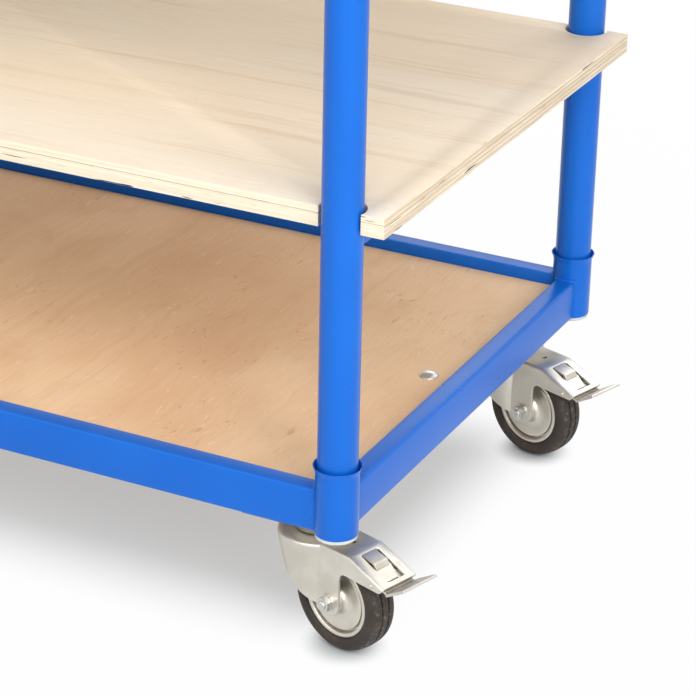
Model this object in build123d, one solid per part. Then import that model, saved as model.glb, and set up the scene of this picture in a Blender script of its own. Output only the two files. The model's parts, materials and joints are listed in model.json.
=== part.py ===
from build123d import *
import math
import os

# Shelf trolley: plywood boards between two pairs of tubular posts, which plug into the
# corner sleeves of a welded base frame on two braked swivel castors and two fixed castors.
# Millimetres. +X runs along the trolley to its steered end, +Y to the back, +Z up.
# The origin is on the floor, below the middle of the whole length.

os.makedirs("parts", exist_ok=True)

# Plan of the posts, and how far the shelves reach past the post axes
post_spacing_length = 920.0
post_spacing_width = 520.0
shelf_end_overhang = 40.0
shelf_side_overhang = 6.0

# Posts, push bars and the bars below the shelves
post_diameter = 35.0
post_wall = 2.0
post_top_height = 960.0
cap_thickness = 3.0
post_foot = 4.0
push_bar_diameter = 28.0
push_bar_wall = 2.0
push_bar_drop = 42.0
cross_bar_size = 20.0
cross_bar_wall = 2.0

# Boards
board_thickness = 18.0
deck_drop = 11.0
shelf_pitch = 267.0
shelf_levels = ("middle", "top")
notch_clearance = 2.5
deck_clearance = 1.5

# Base frame
rail_width = 20.0
rail_height = 40.0
rail_wall = 2.0
sleeve_wall = 1.3
sleeve_stand = 24.0
flare_height = 5.0
flare_out = 2.4
bearer_width = 40.0
bearer_wall = 2.5
bearer_spacing = 340.0
corner_plate_thickness = 4.0
corner_plate_length = 92.0
corner_plate_width = 98.0
corner_plate_inset = 8.0
plate_corner_cut = 46.0

# Deck brackets at the middle of each short side
tab_length = 44.0
tab_width = 40.0
tab_thickness = 4.0

# Castor positions, measured in from the post axes
castor_inset_length = 42.5
castor_inset_width = 47.5
castor_rest_angle = -18.0

# Wheels; the tyre and rim are drawn with many flats, one of the tyre's on the floor
wheel_diameter = 100.0
wheel_flat_count = 32
tyre_width = 30.0
tyre_shoulder_width = 7.0
tyre_shoulder_height = 7.0
rim_diameter = 73.0
rim_width = 23.0
hub_diameter = 24.0
hub_flat_count = 12
hub_end_gap = 1.5

# Castor forks and swivel heads
fork_plate = 2.5
fork_side_gap = 4.0
swivel_trail = 36.0
crown_gap = 4.5
nose_radius = 35.0
nose_foot_radius = 21.5
nose_lip = 8.0
nose_edge = ((0.21, 0.40), (0.51, 0.73), (0.84, 0.92))
nose_flat_count = 18
lug_radius = 12.5
lug_start_angle = 217.0
arch_depth = 20.3
arch_radius = 6.5
tail_start = 24.0
tail_reach = 64.5
tail_drop = 15.6
tail_end_cut = 4.0
swivel_head_height = 20.5
castor_plate_thickness = 3.0
castor_plate_length = 72.0
castor_plate_width = 80.0
cup_radius = 27.0
cup_gap = 0.8
kingpin_diameter = 12.0
kingpin_head_flats = 18.0
kingpin_head_height = 3.0

# Axle bolts
axle_diameter = 12.0
axle_nut_flats = 13.0
axle_nut_height = 6.5
axle_head_flats = 16.0
axle_head_height = 5.5

# Legs of the fixed brackets
bracket_half_width = 30.0
bracket_foot_angle = 20.0

# Brake pedal in the tail of each swivel fork
pedal_plate = 2.5
pedal_pivot_offset = 50.0
pedal_pivot_drop = 17.5
pedal_pip_diameter = 4.0
pedal_pip_length = 3.0
pedal_cheek_radius = 3.9
cheek_flat_count = 8
pedal_reach = 23.0
pedal_slope = 31.0
pedal_pad_rise = 3.0
pedal_pad_length = 16.0
window_offset = 27.0
window_length = 33.0
window_width = 22.0
cam_width = 16.0
cam_start_angle = 34.0
cam_end_angle = 30.0
cam_tyre_gap = 2.2

# Clearances
post_clearance = 0.2
weld_gap = 0.05
running_clearance = 0.08
swivel_clearance = 0.3
pedal_clearance = 1.0
pedal_side_clearance = 1.3
bond_gap = 0.1

# Sizes that follow from those above
post_radius = post_diameter / 2
post_bore_radius = post_radius - post_wall
sleeve_bore_radius = post_radius + post_clearance
sleeve_radius = sleeve_bore_radius + sleeve_wall
wheel_radius = wheel_diameter / 2
crown_top = wheel_diameter + crown_gap
crown_under = crown_top - fork_plate
castor_plate_under = crown_top + swivel_head_height
castor_height = castor_plate_under + castor_plate_thickness
rail_bottom = castor_height + corner_plate_thickness
rail_top = rail_bottom + rail_height
deck_top = rail_top - deck_drop
deck_under = deck_top - board_thickness
bearer_height = deck_under - rail_bottom
fork_inside = tyre_width / 2 + fork_side_gap
fork_outside = fork_inside + fork_plate
axle_x = swivel_trail
tail_end_x = swivel_trail + tail_reach
tail_end_top = crown_top - tail_drop
tail_slope = tail_drop / (tail_reach - tail_start)
arch_top = crown_top - arch_depth
pedal_pivot_x = swivel_trail + pedal_pivot_offset
pedal_pivot_z = crown_top - pedal_pivot_drop
pedal_half_width = fork_inside - pedal_side_clearance
window_start = swivel_trail + window_offset
window_end = window_start + window_length
length_half = post_spacing_length / 2
width_half = post_spacing_width / 2

# The pedals reach past the shelves at one end, so the frame's middle lies off the origin by half of that
pedal_tip_x = tail_end_x + pedal_clearance + pedal_reach
turn = math.radians(castor_rest_angle)
pedal_reach_x = pedal_tip_x * math.cos(turn) - pedal_half_width * math.sin(turn) - castor_inset_length
frame_middle_x = -(pedal_reach_x - shelf_end_overhang) / 2

SIDES = {"front": -1, "rear": 1}
ENDS = {"left": -1, "right": 1}


def save(name, *solids):
    """Write one node, moved so that the origin lies below the middle of the whole length."""
    moved = [Pos(frame_middle_x, 0, 0) * solid for solid in solids]
    shape = moved[0] if len(moved) == 1 else Compound(children=moved)
    export_step(shape, f"parts/{name}.step")


def post_axis(end, side):
    return (ENDS[end] * length_half, SIDES[side] * width_half)


def shelf_under(level):
    """Height of the underside of a shelf; the levels are equally spaced above the deck."""
    return deck_under + shelf_pitch * (shelf_levels.index(level) + 1)


def upright(radius, bottom, top, at=(0, 0)):
    return Pos(at[0], at[1], bottom) * extrude(Circle(radius), amount=top - bottom)


def across(radius, start, end, at=(0, 0)):
    """A cylinder along Y from start to end, centred at the (x, z) given."""
    return Pos(at[0], start, at[1]) * Rot(-90, 0, 0) * extrude(Circle(radius), amount=end - start)


def hexagon(flats, height):
    return extrude(RegularPolygon(flats / 2, 6, major_radius=False), amount=height)


def box_tube(length, width, height, wall):
    """A rectangular hollow section along X."""
    return Box(length, width, height) - Box(length, width - 2 * wall, height - 2 * wall)


def flat_ring(radius, count):
    """Corners of a regular outline whose flats lie at the radius given, the lowest one level."""
    corner_radius = radius / math.cos(math.pi / count)
    angles = [math.pi * (2 * i + 1) / count - math.pi / 2 for i in range(count)]
    return [(corner_radius * math.cos(angle), corner_radius * math.sin(angle)) for angle in angles]


def flat_wheel(count, *sections):
    """A wheel across Y with many flats, from (radius, y) pairs."""
    return ConvexPolyhedron([(x, y, z) for radius, y in sections for x, z in flat_ring(radius, count)])


def side_profile(outline, half_width):
    """Extrude an outline drawn in the castor's upright middle plane to both sides."""
    return extrude(Plane.XZ * make_face(outline), amount=half_width, both=True)


# Base frame
def long_rail(side):
    bar = box_tube(post_spacing_length, rail_width, rail_height, rail_wall)
    bar = Pos(0, SIDES[side] * width_half, rail_bottom + rail_height / 2) * bar
    for end in ENDS:
        bar -= upright(sleeve_radius + weld_gap, rail_bottom, rail_top, post_axis(end, side))
    return bar


def short_rail(end):
    bar = Rot(0, 0, 90) * box_tube(post_spacing_width, rail_width, rail_height, rail_wall)
    bar = Pos(ENDS[end] * length_half, 0, rail_bottom + rail_height / 2) * bar
    for side in SIDES:
        bar -= upright(sleeve_radius + weld_gap, rail_bottom, rail_top, post_axis(end, side))
    return bar


def corner_sleeve(end, side):
    """A tube with a flared mouth that the post plugs into."""
    top = rail_top + sleeve_stand
    outline = Polyline(
        (sleeve_bore_radius, rail_bottom),
        (sleeve_radius, rail_bottom),
        (sleeve_radius, top - flare_height),
        (sleeve_radius + flare_out, top),
        (sleeve_bore_radius, top),
        close=True,
    )
    return Pos(*post_axis(end, side)) * revolve(Plane.XZ * make_face(outline), Axis.Z)


def corner_plate(end, side):
    """The plate under each corner that carries a castor, cut off slanting below the sleeve."""
    inward_x = -ENDS[end]
    inward_y = -SIDES[side]
    start = corner_plate_inset - rail_width / 2
    far_x = start + corner_plate_length
    far_y = start + corner_plate_width
    corners = [
        (start + plate_corner_cut, start),
        (far_x, start),
        (far_x, far_y),
        (start, far_y),
        (start, start + plate_corner_cut),
    ]
    outline = [(inward_x * x, inward_y * y) for x, y in corners]
    plate = extrude(make_face(Polyline(*outline, close=True)), amount=corner_plate_thickness, dir=(0, 0, 1))
    return Pos(*post_axis(end, side), castor_height) * plate


def deck_bearer(place):
    """A shallow channel, open below, that spans the base under the deck."""
    length = post_spacing_width - rail_width - 2 * weld_gap
    channel = Box(bearer_width, length, bearer_height)
    channel -= Pos(0, 0, -bearer_wall) * Box(bearer_width - 2 * bearer_wall, length, bearer_height)
    return Pos(place * bearer_spacing / 2, 0, rail_bottom + bearer_height / 2) * channel


def deck_tab(end):
    start = length_half - rail_width / 2 - weld_gap
    tab = Box(tab_length, tab_width, tab_thickness)
    return Pos(ENDS[end] * (start - tab_length / 2), 0, deck_under - tab_thickness / 2) * tab


# Boards
def lower_deck():
    length = post_spacing_length - rail_width - 2 * deck_clearance
    width = post_spacing_width - rail_width - 2 * deck_clearance
    outline = Rectangle(length, width)
    for end in ENDS:
        for side in SIDES:
            outline -= Pos(*post_axis(end, side)) * Circle(sleeve_radius + deck_clearance)
    return Pos(0, 0, deck_under) * extrude(outline, amount=board_thickness)


def shelf(level):
    length = post_spacing_length + 2 * shelf_end_overhang
    width = post_spacing_width + 2 * shelf_side_overhang
    outline = Rectangle(length, width)
    for end in ENDS:
        for side in SIDES:
            outline -= Pos(*post_axis(end, side)) * Circle(post_radius + notch_clearance)
    return Pos(0, 0, shelf_under(level)) * extrude(outline, amount=board_thickness)


# End frames
def post(end, side):
    """A tube with a closed foot."""
    axis = post_axis(end, side)
    bore = upright(post_bore_radius, rail_bottom + post_foot, post_top_height, axis)
    return upright(post_radius, rail_bottom, post_top_height, axis) - bore


def post_cap(end, side):
    return upright(post_radius, post_top_height, post_top_height + cap_thickness, post_axis(end, side))


def between_posts(bar, end):
    """Cope the ends of a bar on the two posts of one end."""
    for side in SIDES:
        bar -= upright(post_radius + weld_gap, 0, post_top_height, post_axis(end, side))
    return bar


def cross_bar(end, level):
    bar = Rot(0, 0, 90) * box_tube(post_spacing_width, cross_bar_size, cross_bar_size, cross_bar_wall)
    return between_posts(Pos(ENDS[end] * length_half, 0, shelf_under(level) - cross_bar_size / 2) * bar, end)


def push_bar(end):
    ring = Circle(push_bar_diameter / 2) - Circle(push_bar_diameter / 2 - push_bar_wall)
    bar = extrude(Plane.XZ * ring, amount=width_half, both=True)
    return between_posts(Pos(ENDS[end] * length_half, 0, post_top_height - push_bar_drop) * bar, end)


# Wheels, drawn about the axle
def tyre():
    half = tyre_width / 2
    tread = half - tyre_shoulder_width
    side_radius = wheel_radius - tyre_shoulder_height
    outline = [(side_radius, -half), (wheel_radius, -tread), (wheel_radius, tread), (side_radius, half)]
    bore = rim_diameter / 2
    return flat_wheel(wheel_flat_count, *outline) - flat_wheel(wheel_flat_count, (bore, -half), (bore, half))


def rim():
    """A disc with a hub on both sides that runs on the axle."""
    disc_radius = rim_diameter / 2 - bond_gap
    hub_half = fork_inside - hub_end_gap
    disc = flat_wheel(wheel_flat_count, (disc_radius, -rim_width / 2), (disc_radius, rim_width / 2))
    disc += flat_wheel(hub_flat_count, (hub_diameter / 2, -hub_half), (hub_diameter / 2, hub_half))
    return disc - across(axle_diameter / 2 + running_clearance, -hub_half, hub_half)


def axle():
    """The axle bolt between the legs, with its head on one side and its nut on the other."""
    bolt = across(axle_diameter / 2, -fork_inside, fork_inside)
    bolt += Pos(0, fork_inside, 0) * Rot(-90, 0, 0) * hexagon(axle_head_flats, fork_plate + axle_head_height)
    nut = Pos(0, -fork_inside, 0) * Rot(90, 0, 0) * hexagon(axle_nut_flats, fork_plate + axle_nut_height)
    return bolt + nut


# Swivel castors, drawn with the swivel axis on Z, the floor at zero and the tail along +X
def tail_top(x):
    return crown_top - max(0.0, x - swivel_trail - tail_start) * tail_slope


def from_axle(radius, angle):
    """A point at a radius and angle from the wheel's axle, in the castor's middle plane."""
    return (axle_x + radius * math.cos(angle), wheel_radius + radius * math.sin(angle))


def fork_form(plate):
    """The pressing's plan form: a tapering nose and a parallel tail, less one plate thickness."""
    foot = wheel_radius - lug_radius - fork_plate
    height = crown_top - foot
    taper = (nose_radius - nose_foot_radius) / (crown_top - wheel_radius)
    low_ring = flat_ring(nose_radius - taper * height - plate, nose_flat_count)
    high_ring = flat_ring(nose_radius - plate, nose_flat_count)
    form = ConvexPolyhedron([(x, y, foot) for x, y in low_ring] + [(x, y, crown_top) for x, y in high_ring])
    length = tail_end_x + fork_plate
    form += Pos(length / 2, 0, foot + height / 2) * Box(length, 2 * (fork_outside - plate), height)
    lid = Polyline(
        (-nose_radius, 0),
        (-nose_radius, crown_top - plate),
        (swivel_trail + tail_start, crown_top - plate),
        (length, tail_top(length) - plate),
        (length, 0),
        close=True,
    )
    return form & side_profile(lid, nose_radius)


def fork_outline():
    """The side view of the pressing: front edge, axle lug, arch and tail."""
    front = (-nose_radius, crown_top - nose_lip)
    lug_in = from_axle(lug_radius, math.radians(lug_start_angle))
    lug_mid = from_axle(lug_radius, math.radians(lug_start_angle + 360) / 2)
    lug_out = from_axle(lug_radius, 0)
    drop = front[1] - lug_in[1]
    run = lug_in[0] - front[0]
    edge = [(front[0] + along * run, front[1] - down * drop) for along, down in nose_edge]
    arch_low = (lug_out[0], arch_top - arch_radius)
    arch_high = (lug_out[0] + arch_radius, arch_top)
    corner = arch_radius * (1 - math.cos(math.pi / 4))
    arch_mid = (lug_out[0] + corner, arch_top - corner)
    tail_low = (tail_end_x - tail_end_cut, arch_top)
    tail_end = (tail_end_x, tail_end_top)
    over = crown_top + fork_plate
    return [
        Polyline(front, *edge, lug_in),
        ThreePointArc(lug_in, lug_mid, lug_out),
        Line(lug_out, arch_low),
        ThreePointArc(arch_low, arch_mid, arch_high),
        Polyline(arch_high, tail_low, tail_end, (tail_end_x, over), (-nose_radius, over), front),
    ]


def swivel_fork():
    fork = (fork_form(0) - fork_form(fork_plate)) & side_profile(fork_outline(), nose_radius)
    fork -= upright(kingpin_diameter / 2 + running_clearance, crown_under, crown_top)
    window_bottom = tail_top(window_end) - 2 * fork_plate
    window_height = crown_top - window_bottom
    window = Box(window_length, window_width, window_height)
    fork -= Pos(window_start + window_length / 2, 0, window_bottom + window_height / 2) * window
    for sign in (-1, 1):
        root = sign * fork_inside
        tip = sign * (fork_inside - pedal_pip_length)
        fork += across(pedal_pip_diameter / 2, min(root, tip), max(root, tip), (pedal_pivot_x, pedal_pivot_z))
    return fork + Pos(axle_x, 0, wheel_radius) * axle()


def brake_pedal():
    """A rocker on two pips in the fork's tail: a foot plate, a release pad and a cam that brakes the tyre."""
    pivot = (pedal_pivot_x, pedal_pivot_z)
    under = fork_plate + pedal_clearance
    bend = (tail_end_x + pedal_clearance, tail_top(tail_end_x) - under - pedal_clearance / 2)
    rise = math.tan(math.radians(pedal_slope)) * pedal_reach
    tip = (bend[0] + pedal_reach, bend[1] + rise)
    start = (pedal_pivot_x, tail_top(pedal_pivot_x) - under)
    plate_line = [start, bend, tip]
    low_line = [(x, z - pedal_plate) for x, z in reversed(plate_line)]
    pedal = side_profile(Polyline(*plate_line, *low_line, close=True), pedal_half_width)

    pad_start = window_start + pedal_clearance
    pad_end = pad_start + pedal_pad_length
    floor_end = window_end - 2 * pedal_clearance
    pad_line = [
        (pad_start, tail_top(pad_start) + pedal_pad_rise),
        (pad_end, tail_top(pad_end) + pedal_pad_rise),
        (pad_end, tail_top(pad_end) - pedal_clearance),
        (floor_end, tail_top(floor_end) - pedal_clearance),
        (floor_end, tail_top(floor_end) - under - pedal_plate / 2),
        (pad_end, tail_top(pad_end) - under - pedal_plate / 2),
        (pad_start, tail_top(pad_start) + pedal_pad_rise - pedal_plate),
    ]
    pedal += side_profile(Polyline(*pad_line, close=True), window_width / 2 - pedal_clearance)

    cheek_inside = pedal_half_width - pedal_plate
    cheek = flat_ring(pedal_cheek_radius, cheek_flat_count)
    bore = pedal_pip_diameter / 2 + running_clearance
    for sign in (-1, 1):
        ends = sorted((sign * cheek_inside, sign * pedal_half_width))
        pedal += Pos(pivot[0], 0, pivot[1]) * ConvexPolyhedron([(x, y, z) for y in ends for x, z in cheek])
        pedal -= across(bore, ends[0], ends[1], pivot)

    cam_root = tail_top(pedal_pivot_x) - under - pedal_plate / 2
    cam_radius = wheel_radius + cam_tyre_gap
    cam_line = [
        from_axle(cam_radius, math.radians(cam_start_angle)),
        (pedal_pivot_x - pedal_cheek_radius / 2, cam_root),
        (pedal_pivot_x + pedal_cheek_radius, cam_root - pedal_clearance),
        from_axle(cam_radius, math.radians(cam_end_angle)),
    ]
    return pedal + side_profile(Polyline(*cam_line, close=True), cam_width / 2)


def castor_plate():
    plate = Box(castor_plate_length, castor_plate_width, castor_plate_thickness)
    return Pos(0, 0, castor_plate_under + castor_plate_thickness / 2) * plate


def swivel_plate():
    """The top plate, the cup over the ball track on the fork's crown, and the kingpin."""
    cup_bottom = crown_top + cup_gap
    head_top = crown_under - swivel_clearance
    plate = castor_plate() + upright(cup_radius, cup_bottom, castor_plate_under)
    plate += upright(kingpin_diameter / 2, head_top, cup_bottom)
    return plate + Pos(0, 0, head_top - kingpin_head_height) * hexagon(kingpin_head_flats, kingpin_head_height)


# Fixed castors, drawn with the plate's middle on Z
def fixed_bracket():
    """A top plate with two legs that taper down to the axle."""
    foot = math.radians(bracket_foot_angle)
    top_x = bracket_half_width
    low_x = lug_radius * math.cos(foot)
    low_z = wheel_radius + lug_radius * math.sin(foot)
    leg = make_face(
        [
            Polyline((-low_x, low_z), (-top_x, castor_plate_under), (top_x, castor_plate_under), (low_x, low_z)),
            ThreePointArc((low_x, low_z), (0, wheel_radius - lug_radius), (-low_x, low_z)),
        ]
    )
    bracket = castor_plate()
    for sign in (-1, 1):
        wall = extrude(Plane.XZ * leg, amount=fork_plate / 2, both=True)
        bracket += Pos(0, sign * (fork_inside + fork_plate / 2), 0) * wall
    return bracket + Pos(0, 0, wheel_radius) * axle()


def at_swivel(side):
    x = length_half - castor_inset_length
    y = SIDES[side] * (width_half - castor_inset_width)
    return Pos(x, y, 0) * Rot(0, 0, castor_rest_angle)


def at_fixed(side):
    x = -(length_half - castor_inset_length)
    y = SIDES[side] * (width_half - castor_inset_width)
    return Pos(x, y, 0)


corners = [(end, side) for end in ENDS for side in SIDES]

for side in SIDES:
    save(f"{side}_rail", long_rail(side))
for end in ENDS:
    save(f"{end}_rail", short_rail(end))
    save(f"{end}_push_bar", push_bar(end))
    for level in shelf_levels:
        save(f"{level}_cross_bar_{end}", cross_bar(end, level))
for end, side in corners:
    save(f"post_{side}_{end}", post(end, side))
save("corner_sleeves", *[corner_sleeve(end, side) for end, side in corners])
save("post_caps", *[post_cap(end, side) for end, side in corners])
save("corner_plates", *[corner_plate(end, side) for end, side in corners])
save("deck_bearers", *[deck_bearer(place) for place in (-1, 1)])
save("deck_tabs", *[deck_tab(end) for end in ENDS])
save("lower_deck", lower_deck())
for level in shelf_levels:
    save(f"{level}_shelf", shelf(level))

wheel_height = Pos(0, 0, wheel_radius)
swivel_fork_solid = swivel_fork()
brake_pedal_solid = brake_pedal()
swivel_plate_solid = swivel_plate()
fixed_bracket_solid = fixed_bracket()
tyre_solid = tyre()
rim_solid = rim()
for side in SIDES:
    castor = at_swivel(side)
    wheel = castor * Pos(axle_x, 0, wheel_radius)
    save(f"swivel_fork_{side}", castor * swivel_fork_solid)
    save(f"brake_pedal_{side}", castor * brake_pedal_solid)
    save(f"rim_{side}_right", wheel * rim_solid)
    save(f"tyre_{side}_right", wheel * tyre_solid)
    wheel = at_fixed(side) * wheel_height
    save(f"rim_{side}_left", wheel * rim_solid)
    save(f"tyre_{side}_left", wheel * tyre_solid)
save("swivel_plates", *[Pos(at_swivel(side).position) * swivel_plate_solid for side in SIDES])
save("fixed_brackets", *[at_fixed(side) * fixed_bracket_solid for side in SIDES])
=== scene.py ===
import json
import math

import bmesh
import bpy
from mathutils import Matrix, Vector


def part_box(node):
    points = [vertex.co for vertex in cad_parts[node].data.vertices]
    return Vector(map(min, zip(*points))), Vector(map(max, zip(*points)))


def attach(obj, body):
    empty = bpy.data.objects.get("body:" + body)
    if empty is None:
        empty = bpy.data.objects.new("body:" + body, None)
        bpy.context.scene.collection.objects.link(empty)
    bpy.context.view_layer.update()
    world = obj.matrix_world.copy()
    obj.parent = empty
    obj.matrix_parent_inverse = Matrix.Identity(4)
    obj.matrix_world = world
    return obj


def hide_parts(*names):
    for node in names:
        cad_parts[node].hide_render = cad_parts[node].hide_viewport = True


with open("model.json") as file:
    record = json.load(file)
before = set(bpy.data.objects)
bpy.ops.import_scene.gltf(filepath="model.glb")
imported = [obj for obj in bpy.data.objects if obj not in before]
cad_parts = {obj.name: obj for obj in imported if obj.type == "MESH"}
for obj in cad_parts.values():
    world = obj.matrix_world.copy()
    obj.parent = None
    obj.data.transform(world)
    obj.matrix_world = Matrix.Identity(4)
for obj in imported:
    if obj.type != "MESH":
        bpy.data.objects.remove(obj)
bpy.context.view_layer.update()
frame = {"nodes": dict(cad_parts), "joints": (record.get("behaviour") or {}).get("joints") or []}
print("frame loaded with", len(frame["nodes"]), "nodes")

# the pieces are drawn in millimetres and brought to metres as they are finished
scene = bpy.context.scene
jointPlace = {joint["name"]: Vector(joint["pos_m"]) * 1000 for joint in frame["joints"]}
alongY = Matrix.Rotation(-math.pi / 2, 4, "X")  # lays what stands on Z along +Y
againstY = Matrix.Rotation(math.pi / 2, 4, "X")
upsideDown = Matrix.Rotation(math.pi, 4, "X")


def nodeBox(node):
    low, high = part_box(node)
    return low * 1000, high * 1000


def camelName(node):
    head, *rest = node.split("_")
    return head + "".join(word.capitalize() for word in rest)


def shifted(x=0.0, y=0.0, z=0.0):
    return Matrix.Translation((x, y, z))


# posts stand on these axes
postAxis = {}
for corner in ("front_left", "rear_left", "front_right", "rear_right"):
    low, high = nodeBox("post_" + corner)
    postAxis[corner] = (low + high) / 2
postLow, postHigh = nodeBox("post_front_left")
postRadius = (postHigh.x - postLow.x) / 2
middleX = (postAxis["front_left"].x + postAxis["front_right"].x) / 2


# wires for the shader maths
class Wire:
    tree = None  # node tree of the finish being made

    def __init__(self, socket):
        self.socket = socket

    @staticmethod
    def plug(node, sockets):
        # a wire becomes a link, anything else is set on the socket
        for name, value in sockets.items():
            if isinstance(value, Wire):
                Wire.tree.links.new(value.socket, node.inputs[name])
            else:
                node.inputs[name].default_value = value

    @staticmethod
    def node(kind, settings=None, sockets=None, out=0):
        made = Wire.tree.nodes.new(kind)
        for name, value in (settings or {}).items():
            setattr(made, name, value)
        Wire.plug(made, sockets or {})
        return Wire(made.outputs[out])

    @staticmethod
    def maths(operation, first, second=0.0):
        return Wire.node("ShaderNodeMath", {"operation": operation}, {0: first, 1: second})

    @staticmethod
    def vectors(operation, first, second):
        return Wire.node("ShaderNodeVectorMath", {"operation": operation}, {0: first, 1: second})

    def __add__(self, other):
        return Wire.maths("ADD", self, other)

    def __sub__(self, other):
        return Wire.maths("SUBTRACT", self, other)

    def __rsub__(self, other):
        return Wire.maths("SUBTRACT", other, self)

    def __mul__(self, other):
        return Wire.maths("MULTIPLY", self, other)

    __radd__ = __add__
    __rmul__ = __mul__


def screen(red, green, blue):
    # screen values from 0 to 255, as the linear colour that shaders take
    return tuple((part / 255) ** 2.2 for part in (red, green, blue)) + (1.0,)


def startFinish(name):
    finish = bpy.data.materials.new(name)
    finish.use_nodes = True
    Wire.tree = finish.node_tree
    return finish


def endFinish(finish, sockets):
    Wire.plug(finish.node_tree.nodes["Principled BSDF"], sockets)
    return finish


def objectPoint(scale=(1, 1, 1), turn=(0, 0, 0), shift=(0, 0, 0)):
    point = Wire.node("ShaderNodeTexCoord", out="Object")
    sockets = {"Vector": point, "Scale": scale, "Rotation": turn, "Location": shift}
    return Wire.node("ShaderNodeMapping", {}, sockets)


def noise(point, scale=1.0, detail=3.0, roughness=0.5, distortion=0.0):
    return Wire.node("ShaderNodeTexNoise", {}, {
        "Vector": point, "Scale": scale, "Detail": detail, "Roughness": roughness, "Distortion": distortion,
    })


def fade(value, start, end, low=0.0, high=1.0):
    # smooth step from low to high while value goes from start to end
    sockets = {"Value": value, "From Min": start, "From Max": end, "To Min": low, "To Max": high}
    return Wire.node("ShaderNodeMapRange", {"interpolation_type": "SMOOTHSTEP"}, sockets)


def blendColour(factor, first, second):
    # first gives way to second as factor goes from 0 to 1; each is a wire or screen values
    colours = [colour if isinstance(colour, Wire) else screen(*colour) for colour in (first, second)]
    return Wire.node("ShaderNodeMix", {"data_type": "RGBA"}, {0: factor, 6: colours[0], 7: colours[1]}, 2)


def bump(height, strength, distance):
    return Wire.node("ShaderNodeBump", {}, {"Height": height, "Strength": strength, "Distance": distance})


# powder coat: smooth skin over slightly wavy sheet, with orange peel, faint drifts of shade and specks
paintLook = {
    "colour": (24, 101, 197), "deep": (20, 94, 188), "speck": (150, 176, 218), "specks": 0.12,
    "roughness": (0.272, 0.286),  # a wider range shows its steps as thin lines
    "gloss": 0.22, "wave": 0.22, "peel": 0.010, "relief": 0.001,
    "driftScale": 6.0, "waveScale": 26.0, "peelScale": 230.0, "speckScale": 480.0,
    "turn": (0.5, 0.7, 0.3),  # off the axes, so that no pattern lines up with a tube
}


def bluePaintFinish():
    look = paintLook
    finish = startFinish("bluePaint")
    drift = noise(objectPoint(), look["driftScale"], detail=2.0)
    slanted = objectPoint(turn=look["turn"])
    wave = noise(slanted, look["waveScale"], detail=1.0)
    peel = noise(slanted, look["peelScale"], detail=0.0)
    specks = noise(slanted, look["speckScale"], detail=1.0)
    colour = blendColour(fade(drift, 0.3, 0.7), look["colour"], look["deep"])
    colour = blendColour(fade(specks, 0.74, 0.82, 0.0, look["specks"]), colour, look["speck"])
    return endFinish(finish, {
        "Base Color": colour,
        "Roughness": fade(drift, 0.25, 0.75, *look["roughness"]),
        "Specular IOR Level": look["gloss"],
        "Normal": bump(wave * look["wave"] + peel * look["peel"], 1.0, look["relief"]),
    })


# zinc plate: soft clouding, faint rolling lines and a few dull stains; brighter on fasteners
zincLooks = {
    "zinc": {
        "colour": (214, 209, 198), "dull": (200, 194, 182), "stain": (150, 140, 124),
        "roughness": (0.35, 0.43), "metal": (0.90, 0.70),
    },
    "brightZinc": {
        "colour": (212, 211, 206), "dull": (198, 196, 190), "stain": (160, 152, 140),
        "roughness": (0.25, 0.33), "metal": (0.97, 0.77),
    },
}
zincPattern = {
    "cloudScale": 30.0, "stainScale": 60.0, "stained": 0.30, "rollScale": 110.0, "rolled": 0.04,
    "relief": 0.0003,
}


def zincFinish(name):
    look = zincLooks[name]
    finish = startFinish(name)
    clouds = noise(objectPoint(), zincPattern["cloudScale"], roughness=0.55)
    rolled = noise(objectPoint((1, 1, 4)), zincPattern["rollScale"], detail=2.0)
    stains = noise(objectPoint(shift=(3, 1, 2)), zincPattern["stainScale"], detail=4.0, roughness=0.6)
    colour = blendColour(fade(clouds, 0.35, 0.7), look["colour"], look["dull"])
    colour = blendColour(fade(stains, 0.64, 0.78, 0.0, zincPattern["stained"]), colour, look["stain"])
    return endFinish(finish, {
        "Base Color": colour,
        "Metallic": fade(stains, 0.62, 0.8, *look["metal"]),
        "Roughness": fade(stains, 0.3, 0.75, *look["roughness"]),
        "Normal": bump(rolled, zincPattern["rolled"], zincPattern["relief"]),
    })


# rubber: matt, brown-grey, with a fine moulded grain, some floor dust, and scuffs on the tread
rubberLook = {
    "colour": (44, 36, 30), "dusty": (63, 54, 46), "worn": (118, 107, 95), "roughness": (0.58, 0.74),
    "grainScale": 900.0, "grain": 0.18, "flecked": 0.25, "relief": 0.0003, "dustScale": 55.0,
    "scuffScale": 240.0, "scuffed": 0.55,
}


def rubberFinish():
    look = rubberLook
    finish = startFinish("rubber")
    grain = noise(objectPoint(), look["grainScale"], roughness=0.6)
    dust = noise(objectPoint(), look["dustScale"], detail=4.0, roughness=0.6)
    tread = Wire.node("ShaderNodeAttribute", {"attribute_name": "tread"}, out="Fac")  # 1 on the tread
    scuffs = fade(noise(objectPoint(), look["scuffScale"], roughness=0.6), 0.5, 0.72) * tread
    colour = blendColour(fade(dust, 0.4, 0.75), look["colour"], look["dusty"])
    colour = blendColour(fade(grain, 0.6, 0.8, 0.0, look["flecked"]), colour, look["worn"])
    colour = blendColour(scuffs * look["scuffed"], colour, look["worn"])
    return endFinish(finish, {
        "Base Color": colour,
        "Roughness": fade(dust, 0.3, 0.7, *look["roughness"]),
        "Normal": bump(grain, look["grain"], look["relief"]),
    })


# pale moulded caps and plugs
plasticLook = {
    "colour": (202, 206, 204), "shade": (182.5, 186.1, 184.3), "roughness": (0.43, 0.56),
    "cloudScale": 60.0, "grainScale": 1800.0, "grain": 0.10, "relief": 0.0002,
}


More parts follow.
